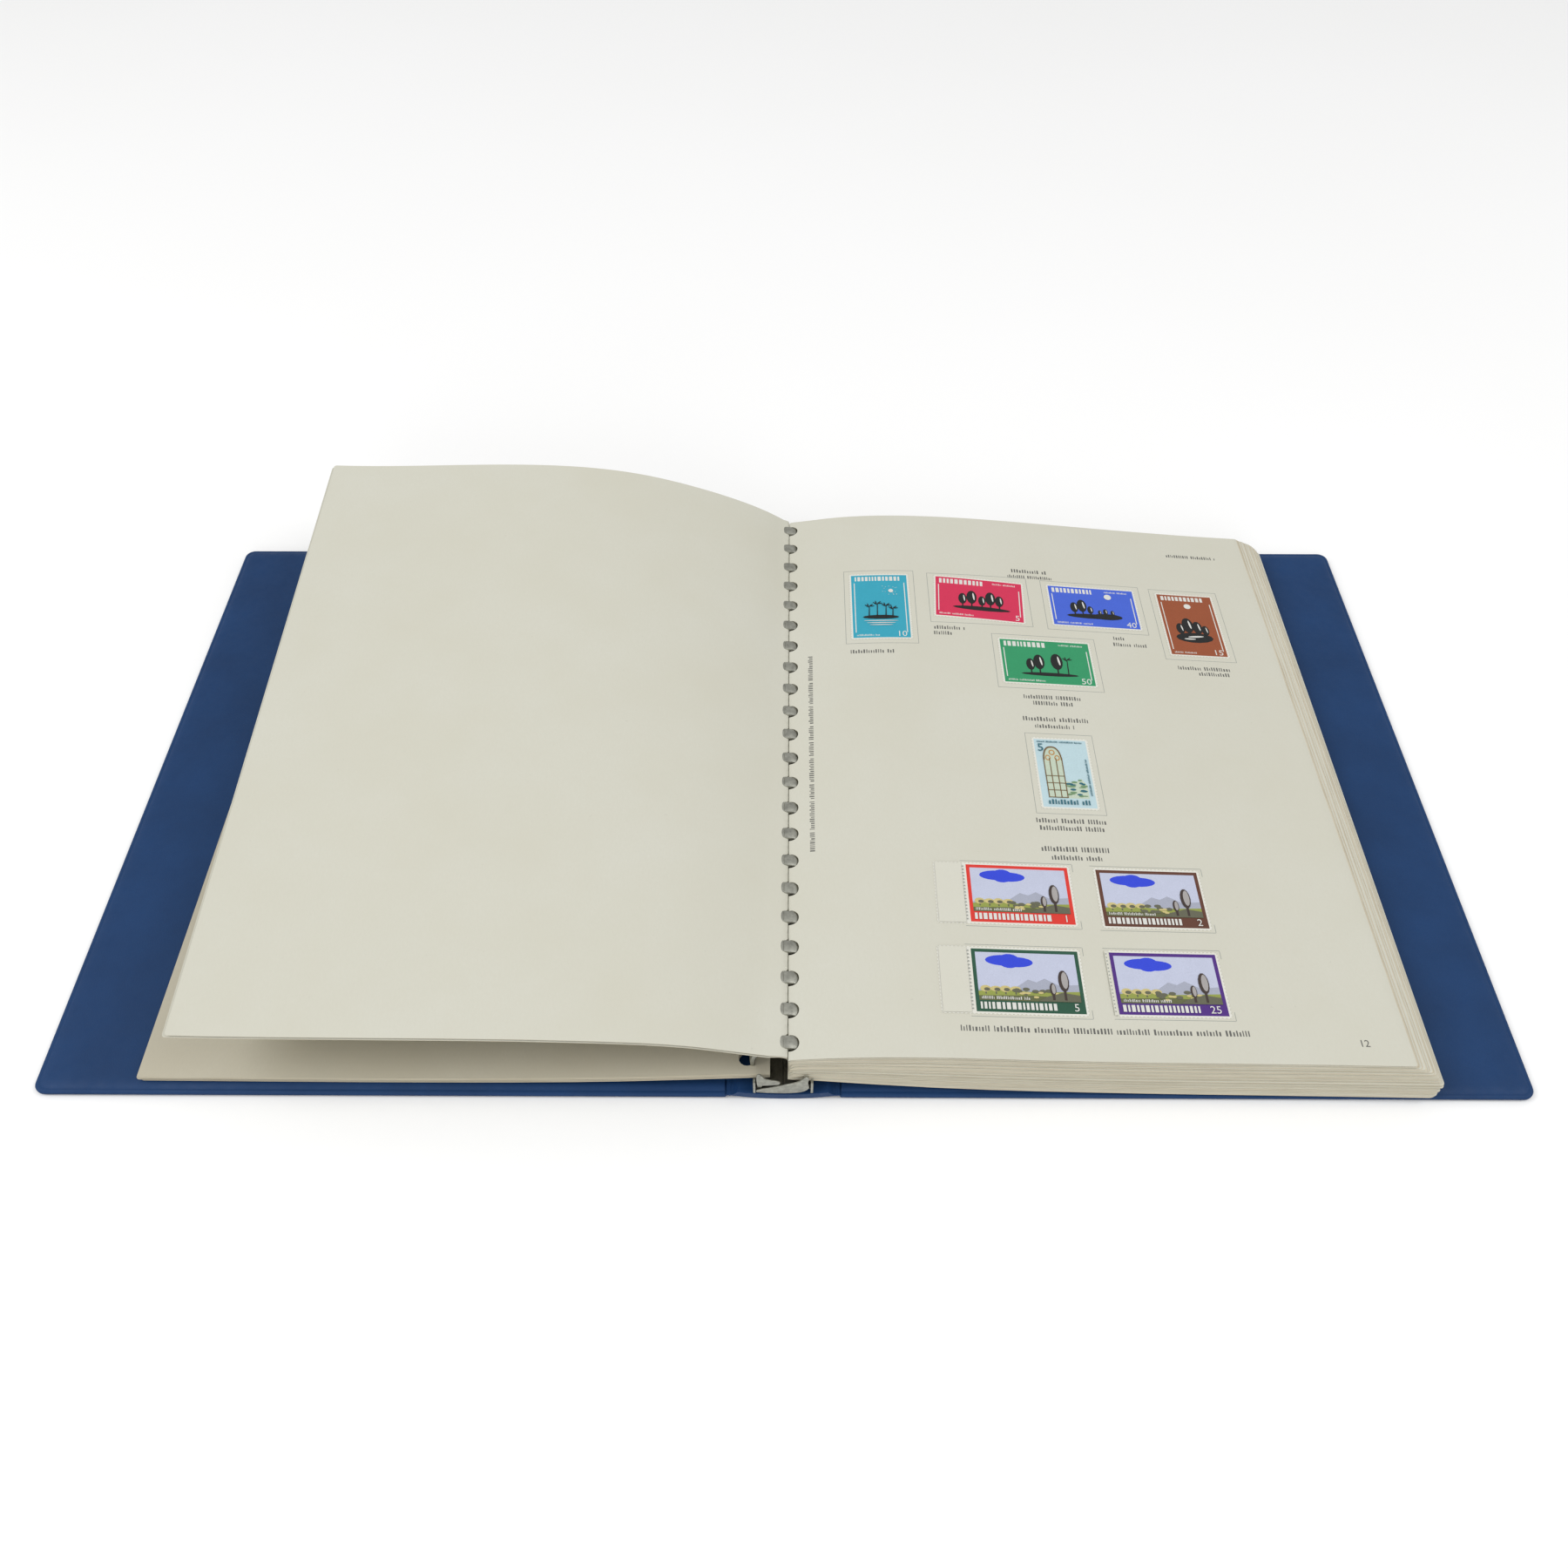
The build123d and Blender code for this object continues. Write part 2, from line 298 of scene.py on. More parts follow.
def paper(name, colour, warm, roughness=0.8):
    """Uncoated album paper: fine tooth, faint clouding and specks."""
    s = Shader(name, roughness=roughness, specular=0.25)
    clouds = s.ramp(s.noise(38, 4), [(0.3, warm), (0.7, colour)])
    fibres = s.noise(0.7, 5, 0.7, s.stretched((1, 0.45, 1)))
    toothed = s.blend(s.span(fibres, 0.0, 0.5), clouds, shade(warm, 0.965))
    specks = s.span(s.noise(1.6, 2, 0.5), 0.0, 0.35, 0.74, 0.8)
    s.colour(s.blend(specks, toothed, shade(warm, 0.8)))
    s.bump(s.noise(0.25, 4, 0.65), 0.2, 0.03)
    s.bump(s.noise(24, 2), 0.25, 0.3)
    return s.material


def cut_edge(name, light, dark):
    """The guillotined edge of a sheaf: bands of warmer and cooler leaves. The colours are warmer than the
    page, and darker partly as painted shade on the side faces.
    """
    s = Shader(name, roughness=0.85, specular=0.2)
    bands = s.noise(0.55, 3, 0.6, s.stretched((0.02, 0.02, 1)))
    banded = s.ramp(bands, [(0.3, dark), (0.55, light), (0.75, shade(light, 1.05))])
    stain = s.noise(14, 4, 0.6, s.stretched((0.6, 0.6, 2)))
    s.colour(s.blend(s.span(stain, 0.0, 0.5, 0.5, 0.75), banded, shade(dark, 0.92)))
    s.bump(s.noise(0.3, 3), 0.3, 0.06)
    return s.material


def metal(name, colour, roughness, worn, brushed=(1, 1, 1)):
    """Nickel plate or spring steel with fine scratches and dull patches."""
    s = Shader(name, metallic=1.0)
    patches = s.noise(2.2, 5, 0.65)
    s.colour(s.ramp(patches, [(0.3, shade(colour, worn)), (0.65, colour)]))
    scratches = s.noise(0.35, 4, 0.7, s.stretched(brushed))
    s.link(s.span(scratches, roughness - 0.1, roughness + 0.14), s.shader, "Roughness")
    s.bump(scratches, 0.25, 0.02)
    s.bump(s.noise(1.3, 3), 0.2, 0.06)
    return s.material


def ink(name, colour, roughness=0.55):
    """Printed ink: a fine screen of slightly uneven colour."""
    s = Shader(name, roughness=roughness, specular=0.3)
    tone = s.ramp(s.noise(0.35, 3), [(0.3, shade(colour, 0.92)), (0.7, shade(colour, 1.08))])
    s.colour(s.blend(s.span(s.noise(5, 3), 0.0, 0.4), tone, shade(colour, 0.9)))
    s.bump(s.noise(0.2, 2), 0.1, 0.01)
    return s.material


def fibre_board(name, colour):
    s = Shader(name, roughness=0.9)
    flecks = s.noise(0.8, 5, 0.7, s.stretched((1, 0.5, 1)))
    s.colour(s.ramp(flecks, [(0.3, shade(colour, 0.75)), (0.7, shade(colour, 1.15))]))
    s.bump(flecks, 0.4, 0.08)
    return s.material


BLUE = (0.0085, 0.0400, 0.124)
CREAM = (0.597, 0.590, 0.512)
WARM_CREAM = (0.578, 0.566, 0.478)
blue_vinyl = vinyl("blue_vinyl_grained", BLUE)
album_paper = paper("album_paper", CREAM, WARM_CREAM)
# Leaf rims: warmer than the page, and darker partly as painted shade on the side faces.
edge_paper_painted_shade = cut_edge("album_paper_edge_painted_shade", (0.575, 0.53, 0.415), (0.475, 0.42, 0.31))
# The left stack's paper is darker and warmer than the page: painted shade for the shadow under the lifted
# leaves.
shade_painted_paper = paper("album_paper_painted_shade", (0.53, 0.497, 0.40), (0.50, 0.462, 0.36))
nickel = metal("nickel_plate_worn", (0.44, 0.44, 0.385), 0.5, 0.6)
blade_steel = metal("spring_steel_blade", (0.20, 0.19, 0.16), 0.42, 0.6, (1, 0.05, 1))
grey_board = fibre_board("grey_board", (0.3, 0.26, 0.2))


# ---- Covers

def rounded_outline(x_low, x_high, half, outer_radius, hinge_radius, steps=8):
    """A plate outline from above, anticlockwise: the hinge edge at x_low, rounded corners at x_high."""
    points = []
    corners = [
        (x_high - outer_radius, half - outer_radius, outer_radius, 0),
        (x_low + hinge_radius, half - hinge_radius, hinge_radius, 90),
        (x_low + hinge_radius, -half + hinge_radius, hinge_radius, 180),
        (x_high - outer_radius, -half + outer_radius, outer_radius, 270),
    ]
    for x, y, radius, start in corners:
        for step in range(steps + 1):
            angle = math.radians(start + 90 * step / steps)
            points.append((x + radius * math.cos(angle), y + radius * math.sin(angle)))
    return points


# (inset from the edge, height above the weld) of a cover's face, from the pocket out and back in
CASE_PROFILE = (
    (2.55, 1.0), (2.55, 0.02), (0.25, 0.02), (0.0, 0.2), (0.02, 0.5), (0.25, 0.8), (0.7, 0.95),
    (1.3, 1.0), (1.55, 0.93), (1.8, 1.04), (2.4, 1.28), (3.2, 1.48), (4.6, 1.58), (7.0, 1.6), (14.0, 1.6),
)


def case_face(name, side, upward, node):
    """One welded vinyl face of a cover: a lid with a rolled edge and a heat-sealed line."""
    weld = cover_top / 2
    rings = []
    for inset, height in CASE_PROFILE:
        hinge_inset = inset * 0.2
        outline = rounded_outline(
            cover_inner + hinge_inset,
            cover_outer - inset,
            cover_half - inset,
            max(1.5, 4.2 - 0.5 * inset),
            0.6,
        )
        z = weld + upward * height
        rings.append([(side * x, y, z) for x, y in outline])
    faces = skin(len(rings), len(rings[0]))
    if side * upward < 0:
        faces = [face[::-1] for face in faces]
    obj = new_object(name, np.vstack(rings), faces, [blue_vinyl], smooth_angle=50)
    body = "left_cover" if side < 0 else "right_cover"
    return place(obj, body, "blue_vinyl", node)


def hinge_strip(name, side, node):
    """The welded strip between spine and cover, with two pressed lines."""
    low, high = box(node)
    inner, outer = sorted((abs(low[0]), abs(high[0])))
    columns = np.linspace(inner, outer, 13)
    pressed = 0.12 * np.cos((columns - inner) / (outer - inner) * 4 * math.pi)
    rows = np.linspace(low[1], high[1], 25)
    top = [(side * x, y, high[2] - 0.12 + p) for y in rows for x, p in zip(columns, pressed)]
    under = [(side * x, y, low[2] + 0.12 - p) for y in rows for x, p in zip(columns, pressed)]
    wide = len(columns)
    faces = []
    for r in range(len(rows) - 1):
        for c in range(wide - 1):
            face = [r * wide + c, r * wide + c + 1, (r + 1) * wide + c + 1, (r + 1) * wide + c]
            faces.append(face if side > 0 else face[::-1])
    points, closed, _ = slab(faces, np.array(top), np.array(under))
    strip = new_object(name, points, closed, [blue_vinyl])
    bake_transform(strip)
    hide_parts(node)
    return strip


def covers():
    for word, side in (("left", -1), ("right", 1)):
        case_face(word + "_cover_lining_grained", side, 1, word + "_cover_lining")
        case_face(word + "_cover_skin_grained", side, -1, word + "_cover_skin")
        hinge_strip(word + "_hinge_strip", side, word + "_hinge_web")


# ---- Ring mechanism

def ring_section():
    """The D-shaped section as (radius, y): flat inside, bowed outside."""
    half = ring_width / 2
    points = [(ring_inner, -half + 0.25), (ring_inner, half - 0.25), (ring_inner + 0.25, half)]
    for step in range(9):
        angle = math.pi * step / 8
        rise = math.sin(angle) ** 0.55
        points.append((ring_inner + 1.15 + (ring_wall - 1.15) * rise, half * math.cos(angle)))
    points.append((ring_inner + 0.25, -half))
    return points


def half_rings(name, side, body, node):
    """Twenty-two half rings, each from the split at the top down to the blade."""
    section = ring_section()
    steps = 26
    pile = Pile()
    for ring in range(ring_count):
        y_middle = mid_y + ring_pitch * (ring - (ring_count - 1) / 2)
        points = []
        for step in range(steps + 1):
            for radius, y in section:
                top = math.pi / 2 - 0.1 / radius
                foot = math.asin((blade_top - ring_z) / radius)
                angle = top + (foot - top) * step / steps
                x, z = radius * math.cos(angle), ring_z + radius * math.sin(angle)
                points.append((side * x, y_middle + y, z))
        faces = skin(steps + 1, len(section))
        if side < 0:
            faces = [face[::-1] for face in faces]
        pile.add(points, faces, [0] * len(faces))
    return place(pile.make(name, [nickel]), body, "nickel_steel", node)


def bar_plate(name, outline, y_low, y_high, bevel, body, node, extra=()):
    """A stamped plate in the XZ plane with rounded edges; extra holds smaller plates joined to it."""
    mesh = bmesh.new()
    for points, low, high in [(smooth_line(outline + outline[:1], 2)[:-1], y_low, y_high), *extra]:
        corners = [mesh.verts.new((x * MM, low * MM, z * MM)) for x, z in points]
        face = mesh.faces.new(corners)
        swept = bmesh.ops.extrude_face_region(mesh, geom=[face])
        moved = [v for v in swept["geom"] if isinstance(v, bmesh.types.BMVert)]
        bmesh.ops.translate(mesh, verts=moved, vec=(0, (high - low) * MM, 0))
    bmesh.ops.recalc_face_normals(mesh, faces=mesh.faces)
    sharp = [e for e in mesh.edges if len(e.link_faces) == 2 and e.calc_face_angle(0) > 1.2]
    bmesh.ops.bevel(mesh, geom=sharp, offset=bevel * MM, segments=3, profile=0.5, affect="EDGES")
    data = bpy.data.meshes.new(name)
    mesh.to_mesh(data)
    mesh.free()
    data.materials.append(nickel)
    data.polygons.foreach_set("use_smooth", np.ones(len(data.polygons), bool))
    data.set_sharp_from_angle(angle=math.radians(50))
    obj = bpy.data.objects.new(name, data)
    bpy.context.scene.collection.objects.link(obj)
    return place(obj, body, "nickel_steel", node)


SHORT_LEVER = [
    (-9.1, 9.6), (-5.4, 9.8), (-2.8, 10.1), (-1.2, 10.6), (-0.9, 11.9), (-2.4, 12.9),
    (-4.8, 13.4), (-6.4, 14.6), (-7.2, 16.6), (-8.2, 18.0), (-9.3, 17.2), (-9.3, 13.0),
]
LONG_LEVER = [
    (-9.5, 4.4), (-6.0, 3.9), (-1.0, 3.6), (3.5, 3.8), (7.0, 4.8), (9.3, 7.4), (8.8, 10.5),
    (8.7, 12.6), (9.2, 15.2), (8.2, 16.3), (6.9, 14.9), (5.6, 12.4), (2.8, 10.7), (-0.6, 9.5),
    (-4.0, 7.9), (-8.4, 6.2), (-9.6, 5.8),
]
SHORT_ROOT = [(-9.2, 6.7), (-7.4, 6.7), (-6.7, 12.3), (-8.6, 12.3)]
LONG_ROOT = [(0.5, 6.7), (8.8, 6.7), (8.6, 9.4), (4.0, 9.4), (0.7, 8.4)]


def turned(points, flip):
    return [(flip * x, z) for x, z in points]


def levers():
    """A short lever and a longer one that crosses under it, at each end of the blades."""
    for end, outward, flip in (("front", -1, 1), ("rear", 1, -1)):
        short_side, long_side = ("left", "right") if flip > 0 else ("right", "left")
        low, high = box(f"{end}_{short_side}_lever")
        face, tip = (high[1], low[1]) if outward < 0 else (low[1], high[1])
        arm = face + outward * 0.7
        for word, side, outline, root in (
            ("short", short_side, SHORT_LEVER, SHORT_ROOT),
            ("long", long_side, LONG_LEVER, LONG_ROOT),
        ):
            bar_plate(
                f"{end}_{side}_{word}_lever_rounded",
                turned(outline, flip),
                min(arm, tip),
                max(arm, tip),
                0.28,
                side + "_ring_arm",
                f"{end}_{side}_lever",
                [(turned(root, flip), min(face, arm), max(face, arm))],
            )


def mechanism():
    half_rings("left_half_rings", -1, "left_ring_arm", "left_ring_halves")
    half_rings("right_half_rings", 1, "right_ring_arm", "right_ring_halves")
    levers()


# ---- Leaves

def ray_tree(node):
    mesh = nodes[node].data
    return BVHTree.FromPolygons([v.co for v in mesh.vertices], [p.vertices for p in mesh.polygons])


def outline_of(node, face, start, end, y):
    """Heights of a CAD leaf's top (face 1) or underside (face -1) along X at one y, as (x, z)."""
    tree = ray_tree(node)
    line = []
    for x in np.linspace(start, end, 46):
        origin = Vector((x * MM, y * MM, face * 0.2))
        hit = tree.ray_cast(origin, Vector((0, 0, -face)))[0]
        line.append((x, hit[2] / MM))
    return line


def foot_reach(node, side):
    """How far out the underside of a stack's lowest sheaf reaches."""
    z_low = box(node)[0][2] * MM
    return side * max(side * v.co[0] for v in nodes[node].data.vertices if v.co[2] < z_low + 5e-5) / MM


def reach_at(node, side, y):
    """How far out a leaf reaches at its front or rear end."""
    at_end = [v.co[0] for v in nodes[node].data.vertices if abs(v.co[1] - y * MM) < 5e-4]
    return side * max(side * x for x in at_end) / MM


def both_ends(inner, node, face, start, foot=None):
    """Front and rear lines of a leaf: given points at the rings, then the CAD outline."""
    side = math.copysign(1, start)
    low, high = box(node)
    lines = []
    for end, inward in ((low[1], 0.6), (high[1], -0.6)):
        reach = foot or reach_at(node, side, end)
        lines.append(inner + outline_of(node, face, start, reach - 0.2 * side, end + inward))
    return lines


def leaf_cells(length, columns, spokes, rings):
    """A flat punched leaf: s runs out from the ring edge, t along it. Returns points and faces."""
    points, index, faces = [], {}, []

    def at(s, t):
        key = (round(s, 3), round(t, 3))
        if key not in index:
            index[key] = len(points)
            points.append((s, t))
        return index[key]

    half = ring_pitch / 2
    near, far = hole_inset - hole_cell, hole_inset + hole_cell
    band = (0.0, near / 2, near)
    field = np.linspace(far, length, columns)
    top = leaf_length / 2
    angles = [2 * math.pi * k / spokes for k in range(spokes + 1)]
    for ring in range(ring_count):
        t = ring_pitch * (ring - (ring_count - 1) / 2)
        square = []
        for angle in angles:
            c, d = math.cos(angle), math.sin(angle)
            reach = max(abs(c), abs(d))
            square.append((hole_inset + hole_cell * c / reach, t + half * d / reach))
        circle = [(hole_inset + hole_radius * math.cos(a), t + hole_radius * math.sin(a)) for a in angles]
        loops = [[tuple(np.add(np.multiply(p, 1 - k), np.multiply(q, k))) for p, q in zip(circle, square)]
                 for k in np.linspace(0, 1, rings + 1)]
        for inner, outer in zip(loops, loops[1:]):
            for k in range(spokes):
                faces.append([at(*inner[k]), at(*outer[k]), at(*outer[k + 1]), at(*inner[k + 1])])
        edge = sorted({round(q, 4) for p, q in square if abs(p - near) < 1e-6})
        for a, b in zip(edge, edge[1:]):
            for p, q in zip(band, band[1:]):
                faces.append([at(p, a), at(q, a), at(q, b), at(p, b)])
        low, high = t - half, t + half
        rows = sorted({round(q, 4) for p, q in square if abs(p - far) < 1e-6})
        faces.append([at(field[1], high)] + [at(far, q) for q in reversed(rows)] + [at(field[1], low)])
        for p, q in zip(field[1:], field[2:]):
            corner = q == field[-1] and (ring in (0, ring_count - 1))
            if not corner:
                faces.append([at(p, low), at(q, low), at(q, high), at(p, high)])
                continue
            sign = 1 if ring else -1
            arc = []
            for step in range(6):
                angle = math.pi / 2 * step / 5
                arc.append((
                    q - leaf_corner * (1 - math.cos(angle)),
                    sign * (top - leaf_corner * (1 - math.sin(angle))),
                ))
            if ring:
                loop = [(p, low), (q, low), *arc, (p, high)]
            else:
                loop = [(p, low), *reversed(arc), (q, high), (p, high)]
            faces.append([at(*c) for c in loop])
    return np.array(points), faces


class Curve:
    """A leaf's bent shape: a front and a rear line, followed at their real length."""

    def __init__(self, front, rear, start_y, shift=0.0, reach=0.0, skew=0.0):
        self.start_y = start_y + shift
        self.reach = reach
        self.skew = skew
        self.lines = []
        for line in (front, rear):
            line = np.asarray(line, float)
            stretch = line[-1] + (line[-1] - line[-2]) / np.linalg.norm(line[-1] - line[-2]) * 6
            line = np.vstack([line, stretch])
            length = np.concatenate([[0], np.cumsum(np.linalg.norm(np.diff(line, axis=0), axis=1))])
            self.lines.append((line, length, length[-2]))

    def points(self, cells):
        s, t = cells[:, 0], cells[:, 1]
        start = hole_inset + hole_cell
        ends = []
        for line, length, total in self.lines:
            beyond = start + (s - start) * (total + self.reach - start) / (FLAT_LENGTH - start)
            along = np.where(s > start, beyond, s)
            ends.append(np.stack([np.interp(along, length, line[:, k]) for k in (0, 1)], axis=1))
        share = np.clip(t / leaf_length + 0.5, 0, 1)[:, None]
        place_xz = ends[0] * (1 - share) + ends[1] * share
        y = self.start_y + (t + leaf_length / 2) + self.skew * s / FLAT_LENGTH
        return np.stack([place_xz[:, 0], y, place_xz[:, 1]], axis=1)


FLAT_LENGTH = 225.0
stack_cells = leaf_cells(FLAT_LENGTH, 12, 16, 1)
page_cells = leaf_cells(FLAT_LENGTH, 52, 32, 2)


class Stack:
    """Every leaf line between an underside and a top, each given as (front, rear)."""

    def __init__(self, under, over, side, start_y, skews, bulge=0.0):
        self.start_y = start_y
        self.skews = skews
        self.under = [np.array(line, float) for line in under]
        self.over = [np.array(line, float) for line in over]
        self.side = side
        self.bulge = bulge

    def lines(self, share):
        made = []
        for low, high in zip(self.under, self.over):
            line = low * (1 - share) + high * share
            ramp = np.clip((np.abs(line[:, 0]) - bulge_start) / 52, 0, 1)
            line[:, 0] += self.side * self.bulge * 4 * share * (1 - share) * ramp
            made.append(smooth_line(line, 3))
        return made

    def leaf(self, top, under, shift=0.0, reach=0.0, cells=None):
        """One closed leaf between two shares of the stack's height."""
        flat, faces = cells or stack_cells
        skew = self.skews[0] * (1 - top) + self.skews[1] * top
        sides = []
        for share in (top, under):
            curve = Curve(*self.lines(share), self.start_y, shift, reach, skew)
            sides.append(curve.points(flat))
        if self.side < 0:
            faces = [face[::-1] for face in faces]
        return slab(faces, sides[0], sides[1])


page_start = 12.0
page_inner = [(1.74, 17.9), (1.7, 22.0), (1.7, 24.8), (1.95, 25.45), (4.8, 25.95)]
under_inner = [(1.6, 10.9), (3.0, 10.4), (4.6, 10.1), (6.2, 10.0), (9.4, 9.95)]
right_stack = Stack(
    both_ends(under_inner, "right_leaves_bottom", -1, page_start, foot_reach("right_leaves_bottom", 1)),
    both_ends(page_inner, "page_12_leaf", 1, page_start),
    1,
    leaf_front,
    (-2.9, 0.0),
    stack_bulge,
)
left_stack = Stack(
    both_ends([(-4.6, 10.6), (-7.6, 10.2), (-10.5, 10.1)], "left_leaves_lower", -1, -13.0),
    both_ends([(-4.6, 12.5), (-7.6, 12.6), (-10.5, 12.6)], "left_leaves_upper", 1, -13.0),
    -1,
    box("left_leaves_upper")[0][1],
    (1.2, 0.9),
)


def leaf_shares(count, low, high, evenness):
    """Leaf tops up a stack, with slightly uneven gaps."""
    gaps = evenness + random.random(count)
    return low + (high - low) * np.cumsum(gaps) / gaps.sum()


def sheaves(stack, names, limits, tops, body, filled, steps, sheet_paper):
    """Leaves gathered into one piece for each CAD sheaf."""
    piles = {name: Pile() for name in names}
    below = limits[0]
    offset = 0.0
    for number, top in enumerate(tops):
        if number % steps == 0:
            offset = random.normal(0, 0.45)
        reach = offset + random.normal(0, 0.22)
        shift = random.normal(0, 0.16)
        under = top - (top - below) * filled
        points, faces, rim = stack.leaf(top, under, shift, reach)
        name = names[min(np.searchsorted(limits[1:], top - 1e-9), len(names) - 1)]
        piles[name].add(points, faces, rim)
        below = top
    for name in names:
        obj = piles[name].make(name + "_punched", [sheet_paper, edge_paper_painted_shade])
        place(obj, body, "cream_paper", name)


def page_leaf():
    points, faces, rim = right_stack.leaf(1.0, 0.985, cells=page_cells)
    obj = new_object("page_12_leaf_punched", points, faces, [album_paper, edge_paper_painted_shade], rim)
    return place(obj, "right_leaves", "cream_paper", "page_12_leaf")


def lifted_leaf(node, drop, reach, shift):
    """A blank leaf that stands in an arch."""
    depth = 15.6 - drop
    shoulder = [(1.65 - drop, 24.9 - drop), (1.35 - drop, 25.5 - drop), (-1.6, 26.6 - drop)]
    inner = [(1.6, depth), (1.65, 23.0), *shoulder]
    front, rear = both_ends(inner, node, 1, -4.6)
    start_y = box(node)[0][1]
    lines = [smooth_line(line, 3) for line in (front, rear)]
    flat, faces = page_cells
    top = Curve(*lines, start_y, shift, reach).points(flat)
    lowered = [line - np.array([0, 0.24]) for line in lines]
    under = Curve(*lowered, start_y, shift, reach).points(flat)
    points, closed, rim = slab([face[::-1] for face in faces], top, under)
    obj = new_object(node + "_punched", points, closed, [album_paper, edge_paper_painted_shade], rim)
    place(obj, "left_leaves", "cream_paper", node)
    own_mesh(obj)


def leaves():
    tops = leaf_shares(42, 0.0, 0.972, 1.6)
    names = ["right_leaves_bottom", "right_leaves_lower", "right_leaves_upper", "right_leaves_top"]
    sheaves(right_stack, names, [0.0, 0.24, 0.48, 0.74], tops, "right_leaves", 0.9, 5, album_paper)
    page_leaf()
    names = ["left_leaves_lower", "left_leaves_upper"]
    # The left stack's leaves take the paper with painted shade.
    sheaves(left_stack, names, [0.0, 0.6], leaf_shares(9, 0.0, 1.0, 1.0), "left_leaves", 0.9, 3, shade_painted_paper)
    lifted_leaf("lifted_leaf_upper", 0.0, 0.0, 0.7)
    lifted_leaf("lifted_leaf_lower", 0.3, 1.1, 0.5)


# ---- Printing and stamps

page_lines = right_stack.lines(1.0)


def page_height(x, y):
    front, rear = (np.interp(x, line[:, 0], line[:, 1]) for line in page_lines)
    share = (y - leaf_front) / leaf_length
    return front * (1 - share) + rear * share


def cut_flat(polygons, step=1.5):
    """Flat polygons cut into strips along X, so that they can follow the page."""
    mesh = bmesh.new()
    for polygon in polygons:
        mesh.faces.new([mesh.verts.new((x, y, 0)) for x, y in polygon])
    bmesh.ops.recalc_face_normals(mesh, faces=mesh.faces)
    for face in mesh.faces:
        if face.normal.z < 0:
            face.normal_flip()
    bmesh.ops.triangulate(mesh, faces=mesh.faces)
    low = min(v.co.x for v in mesh.verts)
    high = max(v.co.x for v in mesh.verts)
    for x in np.arange(math.ceil(low / step) * step, high, step):
        parts = list(mesh.verts) + list(mesh.edges) + list(mesh.faces)
        bmesh.ops.bisect_plane(mesh, geom=parts, plane_co=(x, 0, 0), plane_no=(1, 0, 0), dist=1e-5)
    mesh.verts.index_update()
    points = np.array([v.co[:2] for v in mesh.verts])
    faces = [[v.index for v in face.verts] for face in mesh.faces]
    mesh.free()
    return points, faces


def flat_text(text, size, x, y):
    """Generic digits as flat triangles."""
    curve = bpy.data.curves.new("digits", "FONT")
    curve.body = text
    curve.size = size
    curve.resolution_u = 3
    holder = bpy.data.objects.new("digits", curve)
    mesh = bpy.data.meshes.new_from_object(holder)
    points = np.array([v.co[:2] for v in mesh.vertices]) + (x, y)
    faces = [list(p.vertices) for p in mesh.polygons]
    bpy.data.objects.remove(holder)
    bpy.data.curves.remove(curve)
    bpy.data.meshes.remove(mesh)
    return points, faces


class Print:
    """Layers of ink on the page or on a stamp, each a thin closed film that follows the page."""

    def __init__(self, centre=(0, 0), turn=0.0, lift=0.0):
        self.centre = np.array(centre)
        self.turn = math.radians(turn)
        self.lift = lift
        self.pile = Pile()
        self.materials = []

    def film(self, points, faces, material, thickness=0.02):
        if material not in self.materials:
            self.materials.append(material)
        c, s = math.cos(self.turn), math.sin(self.turn)
        spun = points @ np.array([[c, s], [-s, c]]) + self.centre
        z = page_height(spun[:, 0], spun[:, 1])
        top = np.column_stack([spun, z + self.lift + thickness])
        under = np.column_stack([spun, z + self.lift - 0.02])
        made, closed, rim = slab(faces, top, under)
        self.pile.add(made, closed, [self.materials.index(material)] * len(rim))
        self.lift += 0.006

    def shapes(self, polygons, material):
        for polygon in polygons:
            self.film(*cut_flat([polygon]), material)

    def strokes(self, polygons, material):
        """Many small shapes that don't overlap, at one height."""
        if polygons:
            self.film(*cut_flat(polygons), material)

    def marks(self, x, y, width, height, draws, material, **options):
        """A greeked line."""
        self.strokes(greeked(x, y, width, height, draws, **options), material)

    def digits(self, text, size, x, y, material):
        self.film(*flat_text(text, size, x, y), material)

    def make(self, name):
        return self.pile.make(name, self.materials)


def rect(x, y, width, height):
    return [(x, y), (x + width, y), (x + width, y + height), (x, y + height)]


def framed(x, y, width, height, line):
    """A rectangle drawn as four lines."""
    return [
        rect(x, y, width, line),
        rect(x, y + height - line, width, line),
        rect(x, y + line, line, height - 2 * line),
        rect(x + width - line, y + line, line, height - 2 * line),
    ]


def oval(x, y, rx, ry, lean=0.0, count=14):
    points = []
    for k in range(count):
        a, b = rx * math.cos(2 * math.pi * k / count), ry * math.sin(2 * math.pi * k / count)
        across = a * math.cos(lean) - b * math.sin(lean)
        along = a * math.sin(lean) + b * math.cos(lean)
        points.append((x + across, y + along))
    return points


def greeked(x, y, width, height, draws, upright=True, weight=0.15):
    """A row of plain upright marks of uneven width in place of words. None has a letter's shape."""
    marks = []
    place_x = 0.0
    until_space = draws.integers(8, 16)
    while place_x < width - 0.6 * height:
        wide = height * weight * (1 + 1.2 * draws.random())
        tall = height * (1.0 if weight > 0.2 or draws.random() > 0.4 else 0.74)
        marks.append(rect(place_x, 0, wide, tall))
        place_x += wide + (0.34 - 0.5 * weight) * height
        until_space -= 1
        if until_space == 0 and weight < 0.2:
            place_x += 0.5 * height
            until_space = draws.integers(8, 16)
    if upright:
        return [[(x + px, y + py) for px, py in mark] for mark in marks]
    return [[(x - py, y + px) for px, py in mark] for mark in marks]


